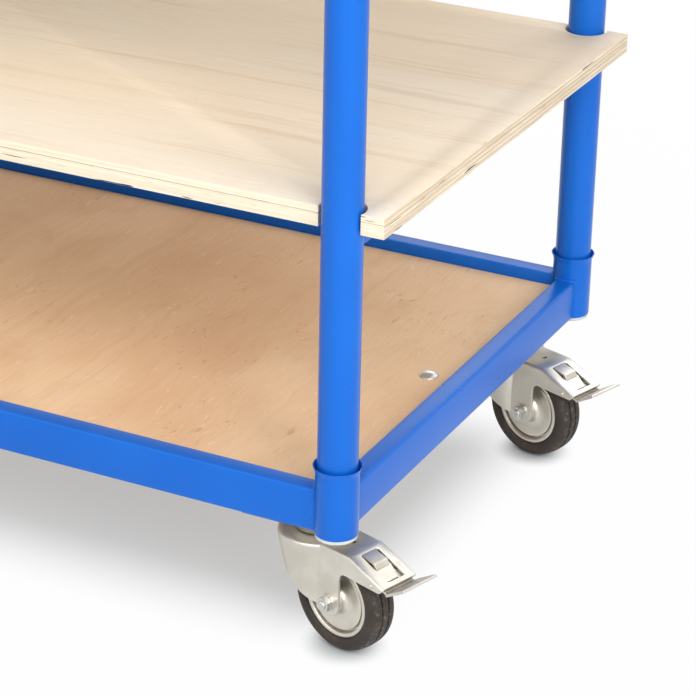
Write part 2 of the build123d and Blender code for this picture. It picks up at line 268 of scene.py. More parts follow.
def plasticFinish():
    look = plasticLook
    finish = startFinish("plugPlastic")
    grain = noise(objectPoint(), look["grainScale"], detail=2.0)
    clouds = noise(objectPoint(), look["cloudScale"])
    return endFinish(finish, {
        "Base Color": blendColour(fade(clouds, 0.35, 0.7), look["colour"], look["shade"]),
        "Roughness": fade(grain, 0.3, 0.7, *look["roughness"]),
        "Normal": bump(grain, look["grain"], look["relief"]),
    })


# plywood face: cloudy veneer with wandering grain, short flecks and a few long streaks
plyLooks = {
    "deckPlywood": {
        "light": (229, 197, 161), "dark": (212, 173, 137), "fleck": (152, 112, 80), "pale": (245, 222, 192),
        "mottle": 0.55, "flecks": 0.32, "streaks": 0.10, "fibres": 0.08, "wander": 0.030, "gloss": 0.16,
        "turn": math.pi / 2, "seed": (-1.4, -0.7, 0.0), "clouds": (3.0, 5.0, 7.0),
    },
    "shelfPlywood": {
        "light": (237, 227, 212), "dark": (236, 220, 198), "fleck": (192, 160, 124), "pale": (250, 242, 228),
        "mottle": 0.30, "flecks": 0.16, "streaks": 0.26, "fibres": 0.10, "wander": 0.012, "gloss": 0.008,
        "turn": 0.0, "seed": (0.7, 0.3, 0.0), "clouds": (1.3, 4.2, 7.0),
    },
}
# how often each pattern repeats in a metre, along and across the grain, and where it starts
grainScales = {
    "mottle": (13.0, 19.0, 2.0), "streaks": (1.7, 62.0, 5.0), "fibres": (14.0, 380.0, 0.0),
    "patches": (7.0, 12.0, 9.0), "flecks": (60.0, 230.0, 2.0), "lights": (48.0, 200.0, 6.0),
}


def plyFaceFinish(name):
    look = plyLooks[name]
    finish = startFinish(name)
    flat = objectPoint(turn=(0, 0, look["turn"]), shift=look["seed"])
    wander = (noise(flat, 11.0, detail=2.0) - 0.5) * look["wander"]
    offset = Wire.node("ShaderNodeCombineXYZ", {}, {"Y": wander})
    swayed = Wire.vectors("ADD", flat, offset)

    def grained(scales, **settings):
        along, across, start = scales
        point = Wire.vectors("MULTIPLY", swayed, (along, across, across))
        return noise(Wire.vectors("ADD", point, (start, start, start)), **settings)

    clouds = grained(look["clouds"])
    mottle = grained(grainScales["mottle"], detail=4.0, roughness=0.6, distortion=0.4)
    streaks = fade(grained(grainScales["streaks"], roughness=0.6), 0.52, 0.75)
    fibres = grained(grainScales["fibres"], detail=2.0, roughness=0.6)
    patches = fade(grained(grainScales["patches"], detail=2.0), 0.42, 0.62)  # flecks gather in places
    flecks = fade(grained(grainScales["flecks"], detail=2.0, distortion=0.8), 0.63, 0.70) * patches
    lights = fade(grained(grainScales["lights"], detail=2.0, distortion=0.8), 0.64, 0.72)

    colour = blendColour(fade(clouds, 0.3, 0.7), look["light"], look["dark"])
    colour = blendColour(fade(mottle, 0.45, 0.72) * look["mottle"], colour, look["dark"])
    colour = blendColour(streaks * look["streaks"], colour, look["fleck"])
    colour = blendColour(fade(fibres, 0.4, 0.75) * look["fibres"], colour, look["fleck"])
    colour = blendColour(lights * (look["flecks"] * 0.8), colour, look["pale"])
    colour = blendColour(flecks * look["flecks"], colour, look["fleck"])
    return endFinish(finish, {
        "Base Color": colour,
        "Roughness": fade(mottle, 0.3, 0.7, 0.66, 0.78),
        "Specular IOR Level": look["gloss"],
        "Normal": bump(fibres * 0.5 - flecks, 0.12, 0.0003),
    })


# plywood edge: pale veneers with thin glue lines, stronger on the short edges, and small voids whose shade
# is painted near black
edgeLook = {
    "veneer": 2.0, "waviness": 0.55, "longContrast": 0.16, "shortContrast": 0.54, "gloss": 0.3,
    "pale": (237, 220, 196), "shade": (196, 170, 140), "glue": (134, 100, 72), "fibre": (150, 120, 92),
    "fibred": 0.22, "void": (26, 20, 16), "band": 6.0, "banded": 0.55,
}
# how often each pattern repeats in a metre, and where it starts
edgeScales = {
    "sway": ((6, 6, 40), (0, 0, 0)), "breaks": ((14, 14, 480), (5, 2, 1)),
    "fibre": ((70, 70, 700), (0, 0, 0)), "voids": ((24, 24, 460), (1, 4, 2)),
    "tone": ((9, 9, 420), (0, 0, 0)),
}


def plyEdgeFinish(boardBottom, boardPitch):
    look = edgeLook
    finish = startFinish("plywoodEdge")

    def patterned(name, **settings):
        scale, start = edgeScales[name]
        return noise(objectPoint(scale, shift=start), **settings)

    point = Wire.node("ShaderNodeTexCoord", out="Object")
    normal = Wire.node("ShaderNodeTexCoord", out="Normal")
    height = Wire.node("ShaderNodeSeparateXYZ", {}, {0: point}, "Z")
    facing = Wire.node("ShaderNodeSeparateXYZ", {}, {0: normal}, "X")
    inBoard = Wire.maths("FLOORED_MODULO", height - boardBottom / 1000, boardPitch / 1000)
    sway = patterned("sway", detail=2.0) - 0.5
    layer = inBoard * (1000 / look["veneer"]) + sway * look["waviness"]
    odd = Wire.maths("FLOORED_MODULO", Wire.maths("FLOOR", layer), 2.0)
    short = fade(Wire.maths("ABSOLUTE", facing), 0.6, 0.8)  # 1 on the short edges
    contrast = look["longContrast"] + short * (look["shortContrast"] - look["longContrast"])
    within = Wire.maths("FRACT", layer)
    line = 1.0 - fade(Wire.maths("MINIMUM", within, 1.0 - within), 0.04, 0.14)
    breaks = fade(patterned("breaks", detail=2.0), 0.36, 0.6)
    # one glue line shows all round
    band = 1.0 - fade(Wire.maths("ABSOLUTE", layer - look["band"]), 0.10, 0.26)
    fibre = patterned("fibre", roughness=0.6)
    # small gaps in the core veneer, with their shade painted near black
    voids = fade(patterned("voids", detail=1.0), 0.68, 0.72) * (1.0 - odd)
    tone = fade(patterned("tone", detail=2.0), 0.42, 0.68)

    colour = blendColour(odd * contrast, look["pale"], look["shade"])
    colour = blendColour(tone * contrast, colour, look["shade"])
    colour = blendColour(fade(fibre, 0.5, 0.78, 0.0, look["fibred"]), colour, look["fibre"])
    colour = blendColour(line * breaks * contrast, colour, look["glue"])
    colour = blendColour(band * look["banded"], colour, look["glue"])
    colour = blendColour(voids, colour, look["void"])
    return endFinish(finish, {
        "Base Color": colour,
        "Roughness": fade(fibre, 0.3, 0.7, 0.60, 0.78),
        "Specular IOR Level": look["gloss"],
        "Normal": bump(fibre - line * 0.5, 0.12, 0.0005),
    })


shelfBottom = nodeBox("middle_shelf")[0].z
shelfPitch = nodeBox("top_shelf")[0].z - shelfBottom
bluePaint = bluePaintFinish()
zinc = zincFinish("zinc")
brightZinc = zincFinish("brightZinc")
rubber = rubberFinish()
plugPlastic = plasticFinish()
deckFace = plyFaceFinish("deckPlywood")
shelfFace = plyFaceFinish("shelfPlywood")
plyEdge = plyEdgeFinish(shelfBottom, shelfPitch)
print("finishes made")

# drawing planes: how two numbers make a point, the axis that turns one towards the other, the way through
planes = {
    "XY": (lambda a, b: (a, b, 0), (0, 0, 1), Vector((0, 0, 1))),
    "XZ": (lambda a, b: (a, 0, b), (0, -1, 0), Vector((0, 1, 0))),
}
drawing = {"arcStep": 7.5, "cornerSteps": 5, "merge": 0.002}  # degrees, count, millimetres


def newSince(bm, before):
    return [vert for vert in bm.verts if vert not in before]


def edgesOf(verts):
    return list({edge for vert in verts for edge in vert.link_edges})


def roundEdges(bm, edges, cut, segments):
    bmesh.ops.bevel(bm, geom=edges, offset=cut, affect="EDGES", segments=segments, profile=0.5, material=-1)


def drawOutline(bm, steps, plane, closed=True):
    # a step is a point (a, b), a point with its corner cut back (a, b, cut), or ("arc", a, b, angle)
    point, axis = planes[plane][:2]
    before = set(bm.verts)
    corners = []
    first = last = None
    for step in steps:
        if step[0] == "arc":
            count = max(4, int(abs(step[3]) / drawing["arcStep"]))
            swept = bmesh.ops.spin(
                bm, geom=[last], cent=point(step[1], step[2]), axis=axis, dvec=(0, 0, 0),
                angle=math.radians(step[3]), steps=count, use_merge=False, use_duplicate=False)
            last = [item for item in swept["geom_last"] if isinstance(item, bmesh.types.BMVert)][0]
            continue
        vert = bm.verts.new(point(step[0], step[1]))
        if last is not None:
            bm.edges.new((last, vert))
        first = first or vert
        last = vert
        if len(step) > 2:
            corners.append((vert, step[2]))
    if closed:
        bm.edges.new((last, first))
    for vert, cut in corners:
        bmesh.ops.bevel(bm, geom=[vert], offset=cut, offset_type="OFFSET", affect="VERTICES",
                        segments=drawing["cornerSteps"], profile=0.5, material=-1)
    return newSince(bm, before)


def prism(bm, steps, plane, start, end, place=None):
    # fill an outline and push it through from start to end, square to its plane
    before = set(bm.verts)
    through = planes[plane][2]
    outline = drawOutline(bm, steps, plane)
    faces = bmesh.ops.contextual_create(bm, geom=edgesOf(outline))["faces"]
    pushed = bmesh.ops.extrude_face_region(bm, geom=faces)["geom"]
    far = [item for item in pushed if isinstance(item, bmesh.types.BMVert)]
    bmesh.ops.translate(bm, vec=through * (end - start), verts=far)
    made = newSince(bm, before)
    bmesh.ops.translate(bm, vec=through * start, verts=made)
    if place is not None:
        bmesh.ops.transform(bm, matrix=place, verts=made)


def turned(bm, outline, segments, place=None):
    # spin an outline of (radius, height) about Z; one that starts off the axis is closed on itself
    before = set(bm.verts)
    verts = drawOutline(bm, outline, "XZ", closed=outline[0][0] > 0)
    bmesh.ops.spin(bm, geom=verts + edgesOf(verts), cent=(0, 0, 0), axis=(0, 0, 1), dvec=(0, 0, 0),
                   angle=2 * math.pi, steps=segments, use_merge=True, use_duplicate=False)
    if place is not None:
        bmesh.ops.transform(bm, matrix=place, verts=newSince(bm, before))


def onEveryPost(outline, segments):
    bm = bmesh.new()
    for spot in postAxis.values():
        turned(bm, outline, segments, shifted(spot.x, spot.y))
    return bm


def pin(bm, radius, low, high, segments, place=None, ease=None):
    # a round pin, hole or washer, with its upper rim eased where wanted
    rim = (radius, high, ease) if ease else (radius, high)
    turned(bm, [(0, low), (radius, low), rim, (0, high)], segments, place)


def roundedBar(bm, low, high, cut, along, segments):
    # a bar between two corners, rounded on its edges along one axis
    before = set(bm.verts)
    low, high = Vector(low), Vector(high)
    made = bmesh.ops.create_cube(bm, size=1)["verts"]
    bmesh.ops.scale(bm, vec=high - low, verts=made)
    bmesh.ops.translate(bm, vec=(low + high) / 2, verts=made)
    lengths = [(edge, (edge.verts[0].co - edge.verts[1].co).normalized()) for edge in edgesOf(made)]
    roundEdges(bm, [edge for edge, heading in lengths if abs(heading[along]) > 0.9], cut, segments)
    return newSince(bm, before)


def hexPiece(bm, flats, height, place):
    # a nut or bolt head with its corners eased, standing on its own zero
    before = set(bm.verts)
    radius = flats / math.sqrt(3)
    made = bmesh.ops.create_cone(bm, cap_ends=True, cap_tris=False, segments=6, radius1=radius,
                                 radius2=radius, depth=height)["verts"]
    bmesh.ops.translate(bm, vec=(0, 0, height / 2), verts=made)
    roundEdges(bm, edgesOf(made), flats * 0.03, 2)
    bmesh.ops.transform(bm, matrix=place, verts=newSince(bm, before))


# crest and root within a turn of thread, the root's radius, and the cut at the tip
threadShape = {"crest": 0.15, "root": 0.55, "rootRadius": 0.88, "tip": 0.6, "tipHeight": 0.5}


def threadEnd(bm, radius, start, end, pitch, segments, place):
    # a threaded end, from start up to its cut tip
    outline = [(0, start), (radius, start)]
    height = start
    while height + pitch < end - threadShape["tip"]:
        outline.append((radius, height + threadShape["crest"] * pitch))
        outline.append((radius * threadShape["rootRadius"], height + threadShape["root"] * pitch))
        height += pitch
    outline += [(radius, height + 0.1 * pitch), (radius, end - threadShape["tipHeight"])]
    outline += [(radius - threadShape["tip"], end), (0, end)]
    turned(bm, outline, segments, place)


beadShape = {"gap": 2.2, "ripple": (0.8, 1.0), "tip": 0.45, "sides": 8}


def weldBead(bm, points, radius, closed=False):
    # rippled bead through the points, thinner at its two ends
    last = len(points) - 1
    loops = []
    for index, point in enumerate(points):
        isTip = not closed and index in (0, last)
        behind = points[index - 1] if closed or index > 0 else point
        after = points[(index + 1) % len(points)] if closed or index < last else point
        turn = Vector((0, 0, 1)).rotation_difference((after - behind).normalized())
        swell = beadShape["tip"] if isTip else beadShape["ripple"][index % 2]
        place = Matrix.Translation(point) @ turn.to_matrix().to_4x4()
        ring = bmesh.ops.create_circle(bm, cap_ends=isTip, segments=beadShape["sides"],
                                       radius=radius * swell, matrix=place)["verts"]
        loops.append(edgesOf(ring))
    pairs = list(zip(loops, loops[1:]))
    if closed:
        pairs.append((loops[-1], loops[0]))
    for near, far in pairs:
        bmesh.ops.bridge_loops(bm, edges=near + far)


def spaced(start, end):
    count = max(2, int((end - start).length / beadShape["gap"]))
    return [start.lerp(end, index / count) for index in range(count + 1)]


def solidObject(bm):
    bmesh.ops.remove_doubles(bm, verts=bm.verts, dist=drawing["merge"])
    bmesh.ops.recalc_face_normals(bm, faces=bm.faces)
    mesh = bpy.data.meshes.new("carving")
    bm.to_mesh(mesh)
    bm.free()
    made = bpy.data.objects.new("carving", mesh)
    scene.collection.objects.link(made)
    return made


def carve(bm, tool, operation):
    # join, cut or trim one closed shape by another and give back the result
    body = solidObject(bm)
    cutter = solidObject(tool)
    change = body.modifiers.new("carve", "BOOLEAN")
    change.object = cutter
    change.operation = operation
    change.solver = "EXACT"
    result = bmesh.new()
    result.from_object(body, bpy.context.evaluated_depsgraph_get())
    for used in (body, cutter):
        mesh = used.data
        bpy.data.objects.remove(used)
        bpy.data.meshes.remove(mesh)
    return result


def finishPiece(name, bm, body, finishes, replaced=(), place=None, sharp=33):
    # merge, place, face outwards, bring to metres and hang the piece on its body
    bmesh.ops.remove_doubles(bm, verts=bm.verts, dist=drawing["merge"])
    if place is not None:
        bmesh.ops.transform(bm, matrix=place, verts=bm.verts)
    bmesh.ops.recalc_face_normals(bm, faces=bm.faces)
    bmesh.ops.scale(bm, vec=(0.001, 0.001, 0.001), verts=bm.verts)
    for face in bm.faces:
        face.smooth = True
    for edge in bm.edges:
        edge.smooth = edge.calc_face_angle(0.0) < math.radians(sharp)
    mesh = bpy.data.meshes.new(name)
    bm.to_mesh(mesh)
    bm.free()
    for finish in finishes:
        mesh.materials.append(finish)
    piece = bpy.data.objects.new(name, mesh)
    scene.collection.objects.link(piece)
    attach(piece, body)
    if replaced:
        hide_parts(*replaced)
    return piece


def replaceNode(node, bm, body, finishes, place=None):
    return finishPiece(camelName(node), bm, body, finishes, [node], place)


def paintedNode(node, bm):
    replaceNode(node, bm, "frame", [bluePaint])


# sizes of the corner sleeves, which the rails run into
sleeveShape = {
    "wall": 1.3, "gap": 0.2, "flare": 2.4, "flareHeight": 5.5, "lip": 1.0, "bend": 2.5, "ease": 0.4,
    "lipEase": 0.3, "innerThroat": 0.6,
}
sleeveRadius = sleeveShape["wall"] + postRadius + sleeveShape["gap"]

# rails
railShape = {"edge": 3.2, "reach": 3.2}
railAxis = {"front_rail": 0, "rear_rail": 0, "left_rail": 1, "right_rail": 1}
railBoxes = {node: nodeBox(node) for node in railAxis}
for node, axis in railAxis.items():
    low, high = [corner.copy() for corner in railBoxes[node]]
    low[axis] = min(spot[axis] for spot in postAxis.values()) + sleeveRadius - railShape["reach"]
    high[axis] = max(spot[axis] for spot in postAxis.values()) - sleeveRadius + railShape["reach"]
    bm = bmesh.new()
    roundedBar(bm, low, high, railShape["edge"], axis, 4)
    paintedNode(node, bm)

# corner sleeves with a flared mouth
sleeveLow, sleeveHigh = nodeBox("corner_sleeves")
mouth = sleeveRadius + sleeveShape["flare"]
bore = sleeveRadius - sleeveShape["wall"]
throat = sleeveHigh.z - sleeveShape["flareHeight"]
ease, bend = sleeveShape["ease"], sleeveShape["bend"]
paintedNode("corner_sleeves", onEveryPost([
    (sleeveRadius, sleeveLow.z, ease), (sleeveRadius, throat, bend), (mouth, sleeveHigh.z, ease),
    (mouth - sleeveShape["lip"], sleeveHigh.z, sleeveShape["lipEase"]),
    (bore, throat - sleeveShape["innerThroat"], bend), (bore, sleeveLow.z),
], 72))

# pale plugs close the sleeves from below
plugShape = {"radius": 18.5, "drop": 3.4, "edge": 0.9, "rim": 0.2, "gap": 0.1}
plugLow, plugHigh = sleeveLow.z - plugShape["drop"], sleeveLow.z - plugShape["gap"]
finishPiece("sleevePlugs", onEveryPost([
    (0, plugLow), (plugShape["radius"], plugLow, plugShape["edge"]),
    (plugShape["radius"], plugHigh, plugShape["rim"]), (0, plugHigh),
], 48), "frame", [plugPlastic])

# welds between rails and sleeves
seamShape = {
    "radius": 1.7, "standOff": 0.5, "inset": 0.2, "outerDrop": 7.0, "innerDrop": 34.0, "topDrop": 1.2,
    "topRise": 0.1, "overTop": 9,
}


def railSeam(spot, axis):
    # up the outside of a rail's end, over its top and down its inside
    side = 1 - axis
    pair = ("front_rail", "rear_rail") if axis == 0 else ("left_rail", "right_rail")
    low, high = min((railBoxes[node] for node in pair),
                    key=lambda box: abs((box[0][side] + box[1][side]) / 2 - spot[side]))
    inward = -1 if spot[axis] > (low[axis] + high[axis]) / 2 else 1
    outward = 1 if spot[side] > (middleX if side == 0 else 0) else -1
    edge = outward * ((high[side] - low[side]) / 2 - seamShape["inset"])
    ring = sleeveRadius + seamShape["standOff"]

    def seamPoint(across, height):
        place = Vector((0, 0, height))
        place[axis] = spot[axis] + math.sqrt(ring ** 2 - across ** 2) * inward
        place[side] = spot[side] + across
        return place

    top = high.z - seamShape["topDrop"]
    count = seamShape["overTop"]
    path = spaced(seamPoint(edge, high.z - seamShape["outerDrop"]), seamPoint(edge, top))
    for step in range(count + 1):
        path.append(seamPoint(edge * (1 - 2 * step / count), high.z + seamShape["topRise"]))
    return path + spaced(seamPoint(-edge, top), seamPoint(-edge, high.z - seamShape["innerDrop"]))


bm = bmesh.new()
for spot in postAxis.values():
    for axis in (0, 1):
        weldBead(bm, railSeam(spot, axis), seamShape["radius"])
finishPiece("frameWelds", bm, "frame", [bluePaint], sharp=80)
print("base frame made")

# posts
postShape = {"wall": 2.0, "ease": 0.4}
postBore = postRadius - postShape["wall"]
for corner, spot in postAxis.items():
    low, high = nodeBox("post_" + corner)
    bm = bmesh.new()
    turned(bm, [
        (postBore, low.z), (postRadius, low.z, postShape["ease"]), (postRadius, high.z, postShape["ease"]),
        (postBore, high.z),
    ], 72, shifted(spot.x, spot.y))
    paintedNode("post_" + corner, bm)

# post caps: low dome as shares of the radius with drops from its top, then the rim and a tapered plug
capShape = {
    "dome": ((0.0, 0.0), (0.45, 0.15), (0.8, 0.9)), "inset": 0.1, "rim": 0.9, "rimEase": 0.6, "seat": 0.02,
    "plugLength": 16.0, "plugGap": 0.2, "taper": 0.8, "plugEase": 0.5,
}
capTop = nodeBox("post_caps")[1].z
capRadius = postRadius - capShape["inset"]
capPlug = postBore - capShape["plugGap"]
plugEnd = postHigh.z - capShape["plugLength"]
seat = postHigh.z + capShape["seat"]
capOutline = [(postRadius * share, capTop - drop) for share, drop in capShape["dome"]] + [
    (capRadius, postHigh.z + capShape["rim"], capShape["rimEase"]), (capRadius, seat), (capPlug, seat),
    (capPlug - capShape["taper"], plugEnd, capShape["plugEase"]), (0, plugEnd),
]
replaceNode("post_caps", onEveryPost(capOutline, 48), "frame", [plugPlastic])

# cross bars below the shelves and push bars at the top, welded to the posts
barShape = {
    "edge": 2.2, "intoPost": 0.2, "bead": 1.5, "standOff": 0.6, "beadTop": 2.0, "beadBottom": 1.5,
    "beadInset": 0.1, "beadOut": 0.7, "beadRise": 0.2,
    "underPoints": (-8.5, -6.5, -4.5, -2.3, 0, 2.3, 4.5, 6.5, 8.5),
}
pushShape = {"radius": 14.0, "wall": 2.0, "bead": 1.6, "beadPoints": 44, "beadOut": 0.5}


def onPost(across):
    # how far a post's skin lies from its axis, at a distance to the side
    return math.sqrt(postRadius ** 2 - across ** 2)


def beadPoint(spot, inward, across, height):
    return Vector((spot.x + across, spot.y + inward * (onPost(across) + barShape["standOff"]), height))


barWelds = bmesh.new()
for end in ("left", "right"):
    post, far = postAxis["front_" + end], postAxis["rear_" + end]
    for level in ("middle", "top"):
        node = f"{level}_cross_bar_{end}"
        low, high = nodeBox(node)
        half = (high.x - low.x) / 2
        into = onPost(half) - barShape["intoPost"]
        bm = bmesh.new()
        low.y, high.y = post.y + into, far.y - into
        roundedBar(bm, low, high, barShape["edge"], 1, 4)
        paintedNode(node, bm)
        for spot, inward in ((post, 1), (far, -1)):
            for hand in (-1, 1):
                x = spot.x + hand * (half - barShape["beadInset"])
                y = spot.y + inward * (onPost(half) + barShape["beadOut"])
                beadTop = Vector((x, y, high.z - barShape["beadTop"]))
                beadBottom = Vector((x, y, low.z + barShape["beadBottom"]))
                weldBead(barWelds, spaced(beadTop, beadBottom), barShape["bead"])
            height = low.z + barShape["beadRise"]
            under = [beadPoint(spot, inward, across, height) for across in barShape["underPoints"]]
            weldBead(barWelds, under, barShape["bead"])
    node = end + "_push_bar"
    low, high = nodeBox(node)
    middle = (low + high) / 2
    radius, bore = pushShape["radius"], pushShape["radius"] - pushShape["wall"]
    reach = onPost(radius) - barShape["intoPost"]
    length = far.y - post.y - 2 * reach
    bm = bmesh.new()
    turned(bm, [(bore, 0), (radius, 0), (radius, length), (bore, length)], 64,
           shifted(middle.x, post.y + reach, middle.z) @ alongY)
    paintedNode(node, bm)
    outer = radius + pushShape["beadOut"]
    turns = [2 * math.pi * step / pushShape["beadPoints"] for step in range(pushShape["beadPoints"])]
    path = [(outer * math.cos(turn), middle.z + outer * math.sin(turn)) for turn in turns]
    for spot, inward in ((post, 1), (far, -1)):
        ring = [beadPoint(spot, inward, across, height) for across, height in path]
        weldBead(barWelds, ring, pushShape["bead"], closed=True)
finishPiece("barWelds", barWelds, "frame", [bluePaint], sharp=80)
print("posts and bars made")

# boards: deck with its corners cut round the posts, shelves with notches open to the long sides
boardShape = {"ease": 0.5, "deckRelief": 20.5, "shelfRelief": 20.0}


def boardPiece(node, outline, finish):
    low, high = nodeBox(node)
    bm = bmesh.new()
    prism(bm, outline, "XY", low.z, high.z)
    bmesh.ops.remove_doubles(bm, verts=bm.verts, dist=0.01)
    flat = [edge for edge in bm.edges if abs(edge.verts[0].co.z - edge.verts[1].co.z) < 0.01]
    roundEdges(bm, [edge for edge in flat if edge.is_manifold], boardShape["ease"], 2)
    bm.normal_update()
    for face in bm.faces:
        face.material_index = 1 if abs(face.normal.z) < 0.5 else 0
    replaceNode(node, bm, "frame", [finish, plyEdge])


low, high = nodeBox("lower_deck")
relief = boardShape["deckRelief"]
pastX = high.x - postAxis["front_right"].x  # from the post axis out to the deck's edge
pastY = postAxis["front_right"].y - low.y
wideX = math.sqrt(relief ** 2 - pastY ** 2)
wideY = math.sqrt(relief ** 2 - pastX ** 2)
sweep = math.degrees(math.atan2(-pastY, -wideX) - math.atan2(wideY, pastX))
sweep = -abs((sweep + 180) % 360 - 180)
outline = []
for index, corner in enumerate(("front_right", "rear_right", "rear_left", "front_left")):
    spot = postAxis[corner]
    signX = 1 if spot.x > middleX else -1
    signY = 1 if spot.y > 0 else -1
    onLong = (spot.x - signX * wideX, high.y if signY > 0 else low.y)
    onShort = (high.x if signX > 0 else low.x, spot.y - signY * wideY)
    outline += [onShort if index % 2 else onLong, ("arc", spot.x, spot.y, sweep)]
boardPiece("lower_deck", outline, deckFace)

relief = boardShape["shelfRelief"]
for node in ("middle_shelf", "top_shelf"):
    low, high = nodeBox(node)
    over = postAxis["front_left"].y - low.y  # board beyond the post axis
    wide = math.sqrt(relief ** 2 - over ** 2)
    sweep = -(180 + 2 * math.degrees(math.asin(over / relief)))
    outline = [(low.x, low.y)]
    for corner in ("front_left", "front_right"):
        spot = postAxis[corner]
        outline += [(spot.x - wide, low.y), ("arc", spot.x, spot.y, sweep)]
    outline += [(high.x, low.y), (high.x, high.y)]
    for corner in ("rear_right", "rear_left"):
        spot = postAxis[corner]
        outline += [(spot.x + wide, high.y), ("arc", spot.x, spot.y, sweep)]
    outline += [(low.x, high.y)]
    boardPiece(node, outline, shelfFace)

# carriage bolts through the deck tabs, with washer and nut below
boltShape = {
    "inset": 36.0, "head": 9.5, "height": 4.2, "rim": 0.5, "rimEase": 0.3, "seat": 0.02, "shank": 4.0,
    "dome": ((0.0, 1.0), (0.34, 0.93), (0.66, 0.70), (0.9, 0.34)),  # shares of head and height
    "washer": 8.5, "washerHeight": 1.5, "nut": 13.0, "nutHeight": 5.0, "thread": (3.9, 6.0, 9.0, 1.25),
}
deckTop = nodeBox("lower_deck")[1].z
tabUnder = nodeBox("deck_tabs")[0].z
head, shank, washer = boltShape["head"], boltShape["shank"], boltShape["washer"]
seat, washerHeight = deckTop + boltShape["seat"], boltShape["washerHeight"]
headOutline = [(head * share, deckTop + boltShape["height"] * rise) for share, rise in boltShape["dome"]]
headOutline += [(head, deckTop + boltShape["rim"], boltShape["rimEase"]), (head, seat), (0, seat)]
bm = bmesh.new()
for corner, sign in (("front_left", 1), ("front_right", -1)):
    place = shifted(postAxis[corner].x + sign * boltShape["inset"])
    below = place @ shifted(z=tabUnder) @ upsideDown
    turned(bm, headOutline, 40, place)
    turned(bm, [(shank, 0), (washer, 0, 0.2), (washer, washerHeight, 0.3), (shank, washerHeight)], 32, below)
    hexPiece(bm, boltShape["nut"], boltShape["nutHeight"], below @ shifted(z=washerHeight))
    threadEnd(bm, *boltShape["thread"], 24, below)
finishPiece("deckBolts", bm, "frame", [brightZinc])

# screws up through the cross bars, each a pan head with a dimple
screwShape = {
    "spacing": 200.0, "seat": 0.02,
    "head": [(0, 0.6), (1.1, 0.6), (1.5, 2.2), (2.94, 1.9), (4.2, 0.6, 0.3), (4.2, 0), (0, 0)],
}
bm = bmesh.new()
for end in ("left", "right"):
    for level in ("middle", "top"):
        low, high = nodeBox(f"{level}_cross_bar_{end}")
        for along in (-screwShape["spacing"], 0, screwShape["spacing"]):
            place = shifted((low.x + high.x) / 2, along, low.z - screwShape["seat"]) @ upsideDown
            turned(bm, screwShape["head"], 20, place)
finishPiece("shelfScrews", bm, "frame", [brightZinc])
print("boards made")

# castors, drawn with the swivel axis on Z, the floor at zero and the tail along +X
castorShape = {
    "trail": 36.0, "axleHeight": 50.0, "plate": 2.5, "inside": 19.0, "outside": 21.5, "edge": 0.35,
    "crown": 104.5, "crownHalf": (35.0, 34.0), "shoulder": 4.5,
    "tailStart": 2.0, "tailFoot": 26.0, "tailFlat": 60.0, "tailEnd": 100.5, "tailDrop": 15.6,
    "tailEdge": 3.0,
    "lug": 12.5, "lugStart": 217.0, "lugSweep": 143.0, "archHeight": 77.2, "arch": 7.5,
    "windowX": (63.0, 96.0), "windowY": (-9.6, 10.8), "windowFloor": 87.5, "windowCorner": 1.6,
    "holeAt": (43.0, 2.0), "hole": 2.6, "kingpinHole": 6.6,
}
# height, middle, half length and half width of the nose
noseOvals = (
    (26, 9.5, 22.5, 25.5), (36, 8.0, 25.0, 26.0), (50, 5.4, 27.4, 27.2), (70, 1.6, 30.4, 29.2),
    (90, -0.6, 32.8, 32.0),
)
# the fork's side outline: down the nose to the lug, and from the arch to the tail's end
noseSide = [
    (-45, 120), (-45, 97.5), (-34.9, 96.5, 3.0), (-22.2, 74.9, 10.0), (-3.9, 57.1, 9.0), (16.3, 46.8, 4.0),
]
tailSide = [(96.5, 83.6, 1.5), (100.2, 88.0, 0.8), (101.5, 92), (101.5, 120)]


def tailTop(x):
    run = castorShape["tailEnd"] - castorShape["tailFlat"]
    return castorShape["crown"] - max(0.0, x - castorShape["tailFlat"]) / run * castorShape["tailDrop"]


def noseForm(thin):
    # ovals stacked up to a crown with a rounded shoulder
    bm = bmesh.new()
    top = castorShape["crown"] - thin
    shoulder = castorShape["shoulder"] - thin * 0.6
    ovals = [(height, middle, length - thin, width - thin) for height, middle, length, width in noseOvals]
    length, width = [half - thin for half in castorShape["crownHalf"]]
    for angle in (0, 25, 50, 72, 90):
        cut = shoulder * (1 - math.cos(math.radians(angle)))
        drop = shoulder * (1 - math.sin(math.radians(angle)))
        ovals.append((top - drop, 0.0, length - cut, width - cut))
    behind = None
    for height, middle, length, width in ovals:
        place = shifted(middle, 0, height) @ Matrix.Diagonal((length, width, 1, 1))
        oval = bmesh.ops.create_circle(bm, cap_ends=False, segments=72, radius=1, matrix=place)
        ring = edgesOf(oval["verts"])
        if behind is None:
            bmesh.ops.contextual_create(bm, geom=ring)
        else:
            bmesh.ops.bridge_loops(bm, edges=behind + ring)
        behind = ring
    bmesh.ops.contextual_create(bm, geom=behind)
    return bm


def tailForm(thin, end):
    # flat-sided tail under a lid that drops to its end, with rounded upper edges
    bm = bmesh.new()
    half = castorShape["outside"] - thin
    crown = castorShape["crown"] - thin
    start, foot, flat = castorShape["tailStart"], castorShape["tailFoot"], castorShape["tailFlat"]
    prism(bm, [
        (start, foot), (end, foot), (end, tailTop(end) - thin), (flat, crown), (start, crown),
    ], "XZ", -half, half)
    bmesh.ops.remove_doubles(bm, verts=bm.verts, dist=0.01)
    upper = [
        edge for edge in bm.edges
        if all(vert.co.z > 60 for vert in edge.verts) and abs(edge.verts[0].co.y - edge.verts[1].co.y) < 0.01
    ]
    roundEdges(bm, upper, castorShape["tailEdge"] - thin * 0.7, 4)
    return bm


